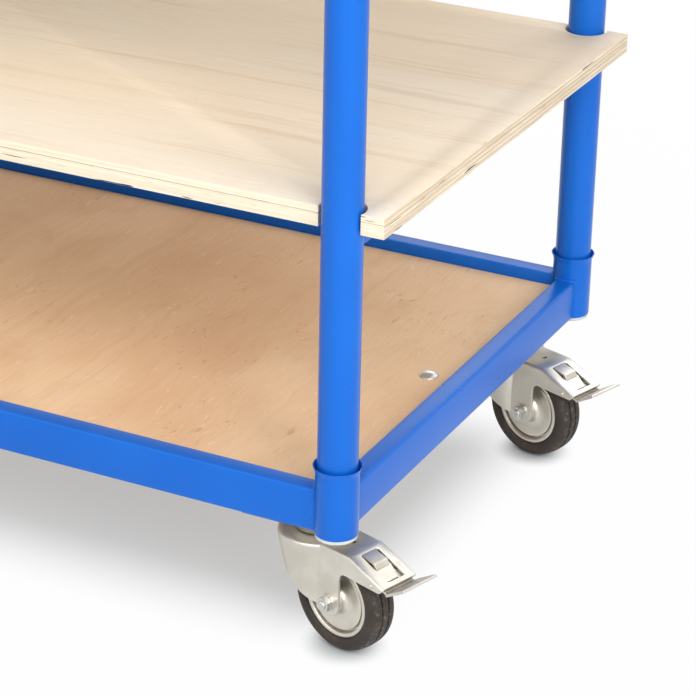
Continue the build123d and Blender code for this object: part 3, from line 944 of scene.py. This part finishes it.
def forkSolid():
    shape = castorShape
    plate, lug, arch = shape["plate"], shape["lug"], shape["arch"]
    outer = carve(noseForm(0.0), tailForm(0.0, shape["tailEnd"]), "UNION")
    inner = carve(noseForm(plate), tailForm(plate, shape["tailEnd"] + 15), "UNION")
    fork = carve(outer, inner, "DIFFERENCE")
    axleX, axleZ = shape["trail"], shape["axleHeight"]
    start = math.radians(shape["lugStart"])
    side = bmesh.new()
    prism(side, noseSide + [
        (axleX + lug * math.cos(start), axleZ + lug * math.sin(start)),
        ("arc", axleX, axleZ, shape["lugSweep"]), (axleX + lug, shape["archHeight"]),
        ("arc", axleX + lug + arch, shape["archHeight"], -90),
    ] + tailSide, "XZ", -60, 60)
    fork = carve(fork, side, "INTERSECT")
    over, under = 125, 95  # the holes are cut between these heights
    cuts = bmesh.new()
    (back, front), (near, far) = shape["windowX"], shape["windowY"]
    roundedBar(cuts, (back, near, shape["windowFloor"]), (front, far, over), shape["windowCorner"], 2, 3)
    pin(cuts, shape["hole"], under, over, 24, shifted(*shape["holeAt"]))
    pin(cuts, shape["kingpinHole"], under, over, 32)
    fork = carve(fork, cuts, "DIFFERENCE")
    bmesh.ops.remove_doubles(fork, verts=fork.verts, dist=0.2)  # slivers would spoil the edge rounding
    return fork


# axle with its nut on the near side and its head on the other, drawn at the wheel's centre
axleShape = {
    "radius": 5.9, "proud": 0.5, "nut": 13.0, "nutHeight": 6.2, "thread": (4.4, 6.8, 9.0, 1.0),
    "head": 16.0, "headHeight": 5.2, "headLift": 0.4, "washer": 8.2, "washerHeight": 1.2, "washerEase": 0.3,
}


def addAxle(bm, place):
    shape = axleShape
    outside = castorShape["outside"]
    length = outside + shape["proud"]
    onNut = place @ shifted(y=-outside) @ againstY
    onHead = place @ shifted(y=outside) @ alongY
    pin(bm, shape["radius"], -length, length, 32, place @ alongY)
    for end in (onNut, onHead):
        pin(bm, shape["washer"], 0, shape["washerHeight"], 40, end, shape["washerEase"])
    hexPiece(bm, shape["nut"], shape["nutHeight"], onNut @ shifted(z=shape["washerHeight"]))
    threadEnd(bm, *shape["thread"], 28, onNut)
    hexPiece(bm, shape["head"], shape["headHeight"], onHead @ shifted(z=shape["headLift"]))


# rim and tyre, drawn round Y at the wheel's centre: half outlines of radius, distance from the middle, cut
rimHalf = [
    (6.2, 17.3), (11.2, 17.3, 0.5), (11.8, 13.0, 1.0), (14.0, 10.6, 1.2), (19.0, 9.4, 2.0),
    (27.6, 10.6, 1.2), (29.7, 10.4, 0.4), (30.0, 6.8, 0.3), (31.4, 6.8, 0.3), (31.9, 11.6, 0.8),
    (33.2, 12.8, 0.9), (35.5, 12.8, 0.9), (36.35, 11.6, 0.4),
]
tyreHalf = [
    (36.5, 11.2), (36.8, 12.9, 0.6), (38.6, 14.4, 1.0), (41.2, 15.0, 1.2), (44.3, 14.6, 1.4),
    (47.2, 12.8, 1.4), (49.1, 9.6, 1.4), (49.8, 5.0, 0.3), (48.2, 4.6, 0.2), (48.2, 3.2, 0.2),
    (49.95, 2.8, 0.3), (50.0, 0.9, 0.4),
]
treadRadius = 47.5


def wheelSolid(half, segments):
    bm = bmesh.new()
    mirrored = [(step[0], -step[1]) + step[2:] for step in reversed(half)]
    turned(bm, half + mirrored, segments, alongY)
    return bm


def tyreSolid():
    bm = wheelSolid(tyreHalf, 96)
    tread = bm.verts.layers.float.new("tread")
    for vert in bm.verts:
        vert[tread] = 1.0 if math.hypot(vert.co.x, vert.co.z) > treadRadius else 0.0
    return bm


# rocker pedal: foot plate, neck under the tail's lip, floor and pad in the window, shoe above the tyre
pedalShape = {
    "plate": 2.5, "neckHalf": 17.4, "footHalf": 20.6, "edge": 0.3, "slope": 31.0, "reach": 23.0,
    "root": (86.0, -3.5), "bend": (1.0, -4.0), "mitre": (0.42, -2.66),
    "padSides": (-8.7, 7.4), "floorSides": (-9.0, 9.9), "slit": 4.9, "pivot": (86.0, 87.0),
    "boss": 3.9, "bossWidth": 2.4, "bossHole": 2.1, "pip": 2.0, "pipReach": (-1.0, 4.6), "pipEase": 0.4,
    "shoeHalf": 8.0, "shoeGap": 2.2, "shoeFrom": (34.0, 30.0),
}
# side outlines that follow the tail's lid: x, height above the lid there, corner cut
padOutline = (
    (63.7, 0.584, 0.6), (79.0, 3.2, 1.4), (81.2, -0.523, 0.8), (81.2, -4.523), (77.0, -2.4),
    (76.4, 1.169, 0.8), (63.7, -2.016),
)
floorOutline = ((70.0, -1.4), (97.0, -1.4), (97.0, -4.6), (70.0, -4.2))
shoeTop = ((84.0, -5.570), (89.9, -4.298))


def onLid(outline):
    return [(step[0], tailTop(step[0]) + step[1]) + step[2:] for step in outline]


def fromAxle(angle):
    # where the shoe ends, just off the tyre
    axleX, axleZ = castorShape["trail"], castorShape["axleHeight"]
    radius = axleZ + pedalShape["shoeGap"]
    angle = math.radians(angle)
    return axleX + radius * math.cos(angle), axleZ + radius * math.sin(angle)


def pedalSolid():
    shape = pedalShape
    plate, neck, foot = shape["plate"], shape["neckHalf"], shape["footHalf"]
    bend = Vector((castorShape["tailEnd"], tailTop(castorShape["tailEnd"]))) + Vector(shape["bend"])
    tip = bend + Vector((shape["reach"], math.tan(math.radians(shape["slope"])) * shape["reach"]))
    away = (tip - bend).normalized()
    down = Vector((away.y, -away.x)) * plate
    lip = tip + down * 0.4
    heel = tip - away * 3 + down
    under = bend + Vector(shape["mitre"])
    rootX, rootZ = onLid([shape["root"]])[0]
    sheet = bmesh.new()
    prism(sheet, [
        (rootX, rootZ), (bend.x, bend.y, 1.5), (tip.x - 1.0, tip.y - 0.2, 1.2),
        (lip.x + 0.2, lip.y - 1.6, 0.8), (lip.x - 1.8, lip.y - 1.8, 0.6), (heel.x, heel.y, 1.0),
        (under.x, under.y, 1.5), (rootX, rootZ - plate),
    ], "XZ", -foot, foot)
    # the neck is narrower than the foot plate
    above, below = bend + away * 1.6 - down * 3, bend + away * 1.6 + down * 3
    trims = bmesh.new()
    trim = [(60, below.y), (below.x, below.y), (above.x, above.y), (60, above.y + 20)]
    for near, far in ((-40, -neck), (neck, 40)):
        prism(trims, trim, "XZ", near, far)
    pedal = carve(sheet, trims, "DIFFERENCE")
    prism(pedal, onLid(padOutline), "XZ", *shape["padSides"])
    # the floor's far side runs in towards the end, which leaves a slit
    near, far = shape["floorSides"]
    plan = bmesh.new()
    prism(plan, [
        (78.0, near), (94.0, near), (94.0, far - shape["slit"]), (80.8, far), (78.0, far),
    ], "XY", 80, 110)
    lid = bmesh.new()
    prism(lid, onLid(floorOutline), "XZ", near - 5, far + 5)
    inside = carve(plan, lid, "INTERSECT")
    shoeNear, shoeFar = [fromAxle(angle) for angle in shape["shoeFrom"]]
    prism(inside, [shoeNear] + onLid(shoeTop) + [shoeFar], "XZ", -shape["shoeHalf"], shape["shoeHalf"])
    hole, boss, width = shape["bossHole"], shape["boss"], shape["bossWidth"]
    for start in (-neck, neck - width):
        turned(inside, [(hole, 0), (boss, 0, 0.3), (boss, width, 0.3), (hole, width)], 24,
               shifted(shape["pivot"][0], start, shape["pivot"][1]) @ alongY)
    joined = bpy.data.meshes.new("pedalPart")
    inside.to_mesh(joined)
    inside.free()
    pedal.from_mesh(joined)
    bpy.data.meshes.remove(joined)
    return pedal


def softenEdges(piece, width, angle=40):
    # a small round on every folded or cut edge, left live
    change = piece.modifiers.new("edges", "BEVEL")
    change.width = width / 1000
    change.segments = 2
    change.limit_method = "ANGLE"
    change.angle_limit = math.radians(angle)
    change.profile = 0.5
    change.use_clamp_overlap = False
    merge = piece.modifiers.new("merge", "WELD")
    merge.merge_threshold = 0.00002


def wheelPlace(side, end):
    # at the wheel's centre, turned with its castor
    spot = jointPlace[f"wheel_{side}_{end}_spin"]
    turn = 0.0
    if end == "right":
        swivel = jointPlace[f"castor_{side}_swivel"]
        turn = math.atan2(spot.y - swivel.y, spot.x - swivel.x)
    return Matrix.Translation(spot) @ Matrix.Rotation(turn, 4, "Z")


for side in ("front", "rear"):
    body = "castor_" + side
    swivel = jointPlace[f"castor_{side}_swivel"]
    wheel = wheelPlace(side, "right")
    place = shifted(swivel.x, swivel.y) @ wheel.to_3x3().to_4x4()
    fork = replaceNode("swivel_fork_" + side, forkSolid(), body, [zinc], place)
    softenEdges(fork, castorShape["edge"])
    bm = bmesh.new()
    addAxle(bm, Matrix.Identity(4))
    finishPiece(camelName("axle_bolt_" + side), bm, body, [brightZinc], place=wheel)
    bm = bmesh.new()
    for hand, inward in ((-1, alongY), (1, againstY)):
        pivot = shifted(pedalShape["pivot"][0], hand * castorShape["outside"], pedalShape["pivot"][1])
        pin(bm, pedalShape["pip"], *pedalShape["pipReach"], 20, pivot @ inward, pedalShape["pipEase"])
    finishPiece(camelName("pedal_pips_" + side), bm, body, [zinc], place=place)
    pedal = replaceNode("brake_pedal_" + side, pedalSolid(), "pedal_" + side, [zinc], place)
    softenEdges(pedal, pedalShape["edge"])
    for end in ("left", "right"):
        spot = wheelPlace(side, end)
        body = f"wheel_{side}_{end}"
        replaceNode(f"rim_{side}_{end}", wheelSolid(rimHalf, 80), body, [zinc], spot)
        replaceNode(f"tyre_{side}_{end}", tyreSolid(), body, [rubber], spot)
print("castors made")

# top plates of all four castors
plateShape = {"length": 72.0, "width": 80.0, "thickness": 3.0, "corner": 6.0, "gap": 0.02}
plateTop = nodeBox("swivel_plates")[1].z
plateUnder = plateTop - plateShape["thickness"]


def addPlate(bm, place):
    halfX, halfY = plateShape["length"] / 2, plateShape["width"] / 2
    made = roundedBar(bm, (-halfX, -halfY, plateUnder), (halfX, halfY, plateTop - plateShape["gap"]),
                      plateShape["corner"], 2, 5)
    bmesh.ops.transform(bm, matrix=place, verts=made)


# bearing cups with kingpins below the swivel plates
cupShape = {
    "radius": 27.0, "gap": 0.8, "kingpin": 6.0, "pinDrop": 0.4,
    "nut": 18.0, "nutHeight": 3.0, "nutDrop": 3.3,
}
cup = cupShape["radius"]
cupLow = castorShape["crown"] + cupShape["gap"]
crownUnder = castorShape["crown"] - castorShape["plate"]
bm = bmesh.new()
for side in ("front", "rear"):
    swivel = jointPlace[f"castor_{side}_swivel"]
    place = shifted(swivel.x, swivel.y)
    addPlate(bm, place)
    turned(bm, [
        (0, cupLow + 1.5), (cup - 12, cupLow + 1.5), (cup - 10.5, cupLow, 0.6), (cup - 8, cupLow, 0.8),
        (cup - 7, cupLow + 2.8, 1.0), (cup + 0.6, plateUnder - 2.0, 1.5), (cup + 3.5, plateUnder + 0.2),
        (0, plateUnder + 0.2),
    ], 72, place)
    pin(bm, cupShape["kingpin"], crownUnder - cupShape["pinDrop"], cupLow + 2, 32, place)
    hexPiece(bm, cupShape["nut"], cupShape["nutHeight"], place @ shifted(z=crownUnder - cupShape["nutDrop"]))
replaceNode("swivel_plates", bm, "frame", [zinc])

# fixed brackets: plate and two tapered legs with a rounded foot
legShape = {"topHalf": 30.0, "fold": 0.5, "shoulder": 6.0, "shoulderCut": 3.0, "footAngle": 20.0}
foot = math.radians(legShape["footAngle"])
footX = castorShape["lug"] * math.cos(foot)
footZ = castorShape["axleHeight"] + castorShape["lug"] * math.sin(foot)
legTop, legShoulder = plateUnder + legShape["fold"], plateUnder - legShape["shoulder"]
half, cut = legShape["topHalf"], legShape["shoulderCut"]
legOutline = [
    (-half, legTop), (-half, legShoulder, cut), (-footX, footZ),
    ("arc", 0, castorShape["axleHeight"], 180 + 2 * legShape["footAngle"]),
    (half, legShoulder, cut), (half, legTop),
]
bm = bmesh.new()
for side in ("front", "rear"):
    spot = jointPlace[f"wheel_{side}_left_spin"]
    place = shifted(spot.x, spot.y)
    addPlate(bm, place)
    for start in (castorShape["inside"], -castorShape["outside"]):
        prism(bm, legOutline, "XZ", start, start + castorShape["plate"], place)
    addAxle(bm, place @ shifted(z=castorShape["axleHeight"]))
replaceNode("fixed_brackets", bm, "frame", [zinc])

# three bolts to a plate: the fourth corner lies below a sleeve
plateBolt = {
    "x": 28.0, "y": 32.0, "clear": 30.0, "washer": 7.2, "washerHeight": 1.2, "washerEase": 0.3, "gap": 0.02,
    "flats": 11.0, "headHeight": 4.6, "nutHeight": 4.8, "thread": (3.4, 4.6, 8.0, 1.0),
}
cornerTop = nodeBox("corner_plates")[1].z
flats, washerHeight = plateBolt["flats"], plateBolt["washerHeight"]
bm = bmesh.new()
for corner, post in postAxis.items():
    side, end = corner.split("_")
    centre = jointPlace[f"castor_{side}_swivel" if end == "right" else f"wheel_{side}_left_spin"]
    for signX, signY in ((-1, -1), (-1, 1), (1, -1), (1, 1)):
        x, y = centre.x + signX * plateBolt["x"], centre.y + signY * plateBolt["y"]
        if math.hypot(x - post.x, y - post.y) < plateBolt["clear"]:
            continue
        under = shifted(x, y, plateUnder) @ upsideDown
        above = shifted(x, y, cornerTop)
        pin(bm, plateBolt["washer"], plateBolt["gap"], washerHeight, 28, under, plateBolt["washerEase"])
        hexPiece(bm, flats, plateBolt["headHeight"], under @ shifted(z=washerHeight))
        hexPiece(bm, flats, plateBolt["nutHeight"], above @ shifted(z=plateBolt["gap"]))
        threadEnd(bm, *plateBolt["thread"], 20, above)
finishPiece("plateBolts", bm, "frame", [brightZinc])

for node in ("corner_plates", "deck_bearers", "deck_tabs"):
    kept = frame["nodes"][node].data.materials
    kept.clear()
    kept.append(bluePaint)
print("plates and brackets made")

# floor: pale as light meets it, and white as the camera sees it, with a painted soft shadow under the
# trolley and close to each wheel, laid over the real shade
floorLook = {
    "pale": (0.90, 0.965, 0.99, 1.0), "shade": (0.43, 0.455, 0.465, 1.0), "halfSize": 30,
    "whiteInTrolleyShadow": 0.44, "beside": 0.98, "fadeFrom": (0.375, 0.152), "fadeWidth": 0.120, "endFactor": 1.15,
    "allWhite": 1.6, "whiteInWheelShadow": 0.05, "wheelFrom": 0.010, "wheelReach": 0.043,
}


def seenDirectly():
    # 1 for rays from the camera, from glossy surfaces and through clear ones
    rays = ("Camera", "Glossy", "Transmission")
    camera, glossy, through = [Wire.node("ShaderNodeLightPath", out=f"Is {kind} Ray") for kind in rays]
    return Wire.maths("MINIMUM", camera + glossy + through, 1.0)


def outside(place, half):
    return Wire.maths("MAXIMUM", Wire.maths("ABSOLUTE", place) - half, 0.0)


def distance(x, y):
    return Wire.maths("SQRT", x * x + y * y)


def floorFinish():
    look = floorLook
    finish = startFinish("floor")
    finish.node_tree.nodes.clear()
    spot = Wire.node("ShaderNodeTexCoord", out="Object")
    spotX = Wire.node("ShaderNodeSeparateXYZ", {}, {0: spot}, "X")
    spotY = Wire.node("ShaderNodeSeparateXYZ", {}, {0: spot}, "Y")
    fromX, fromY = look["fadeFrom"]
    away = distance(outside(spotX - middleX / 1000, fromX) * look["endFactor"], outside(spotY, fromY))
    # painted shadow: less white under the trolley, so more of the darker shaded floor shows there, over its
    # real shade
    white = fade(away, 0.0, look["fadeWidth"], look["whiteInTrolleyShadow"], look["beside"])
    white = white + fade(away, look["fadeWidth"], look["allWhite"], 0.0, 1.0 - look["beside"])
    # painted contact shadow: the floor turns darker close to each wheel
    for corner in postAxis:
        stand = jointPlace[f"wheel_{corner}_spin"] / 1000  # painted shadow close to each wheel, over the real shade there
        near = distance(spotX - stand.x, spotY - stand.y)
        white = white * fade(near, look["wheelFrom"], look["wheelReach"], look["whiteInWheelShadow"], 1.0)
    plain = Wire.node("ShaderNodeBsdfDiffuse", {}, {"Color": look["pale"]})
    # darker floor colour that the painted shadows show, lit by the lamps
    shaded = Wire.node("ShaderNodeBsdfDiffuse", {}, {"Color": look["shade"]})
    glow = Wire.node("ShaderNodeEmission", {}, {"Color": (1, 1, 1, 1), "Strength": 1.0})
    floorWithPaintedShadow = Wire.node("ShaderNodeMixShader", {}, {0: white, 1: shaded, 2: glow})
    mixed = Wire.node("ShaderNodeMixShader", {}, {0: seenDirectly(), 1: plain, 2: floorWithPaintedShadow})
    Wire.plug(Wire.tree.nodes.new("ShaderNodeOutputMaterial"), {"Surface": mixed})
    return finish


floorMesh = bpy.data.meshes.new("floor")
bm = bmesh.new()
bmesh.ops.create_grid(bm, x_segments=1, y_segments=1, size=floorLook["halfSize"])
bm.to_mesh(floorMesh)
bm.free()
floorMesh.materials.append(floorFinish())
floor = bpy.data.objects.new("floor", floorMesh)
scene.collection.objects.link(floor)

# light from all round, and white to the camera
ambient = 0.18
scene.world = bpy.data.worlds.new("studio")
scene.world.use_nodes = True
Wire.tree = scene.world.node_tree
Wire.plug(Wire.tree.nodes["Background"], {
    "Color": (1, 1, 1, 1), "Strength": fade(seenDirectly(), 0.0, 1.0, ambient, 1.0),
})

# azimuth, elevation, distance, size and power of each lamp; azimuth 0 is in front, 90 at the right-hand end
lampRig = {
    "frontLamp": (0, 35, 3.6, 1.8, 29.0), "rightLamp": (35, 38, 3.6, 1.8, 61.0),
    "lowLamp": (60, 20, 3.6, 1.8, 60.0), "leftLamp": (-45, 40, 3.6, 1.8, 17.0),
    "backLamp": (180, 45, 3.6, 3.4, 56.0), "topLamp": (20, 85, 3.2, 2.5, 19.0),
}
lampAim = Vector((0.2, 0.0, 0.35))


def outwards(azimuth, elevation):
    azimuth, elevation = math.radians(azimuth), math.radians(elevation)
    flat = math.cos(elevation)
    return Vector((math.sin(azimuth) * flat, -math.cos(azimuth) * flat, math.sin(elevation)))


for name, (azimuth, elevation, reach, size, power) in lampRig.items():
    lamp = bpy.data.lights.new(name, "AREA")
    lamp.shape = "SQUARE"
    lamp.size = size
    lamp.energy = power
    holder = bpy.data.objects.new(name, lamp)
    scene.collection.objects.link(holder)
    away = outwards(azimuth, elevation)
    holder.location = lampAim + away * reach
    holder.rotation_euler = away.to_track_quat("Z", "Y").to_euler()

# camera, tilted and slightly rolled
viewpoint = {
    "azimuth": 26.032, "elevation": 25.086, "roll": 1.241, "aim": (358.5, -79.7, 211.6), "distance": 2433.8,
    "lens": 139.655, "sensor": 36.0, "farthest": 100.0,
}
camera = bpy.data.objects.new("camera", bpy.data.cameras.new("camera"))
scene.collection.objects.link(camera)
camera.data.sensor_width = viewpoint["sensor"]
camera.data.lens = viewpoint["lens"]
camera.data.clip_end = viewpoint["farthest"]
back = outwards(viewpoint["azimuth"], viewpoint["elevation"])
level = Vector((-back.y, back.x, 0)).normalized()
upright = back.cross(level)
roll = math.radians(viewpoint["roll"])
sideways = level * math.cos(roll) + upright * math.sin(roll)
upwards = upright * math.cos(roll) - level * math.sin(roll)
camera.location = (Vector(viewpoint["aim"]) + back * viewpoint["distance"]) * 0.001
camera.rotation_euler = Matrix((sideways, upwards, back)).transposed().to_euler()
scene.camera = camera
scene.view_settings.view_transform = "Standard"
print("floor, light and camera set")
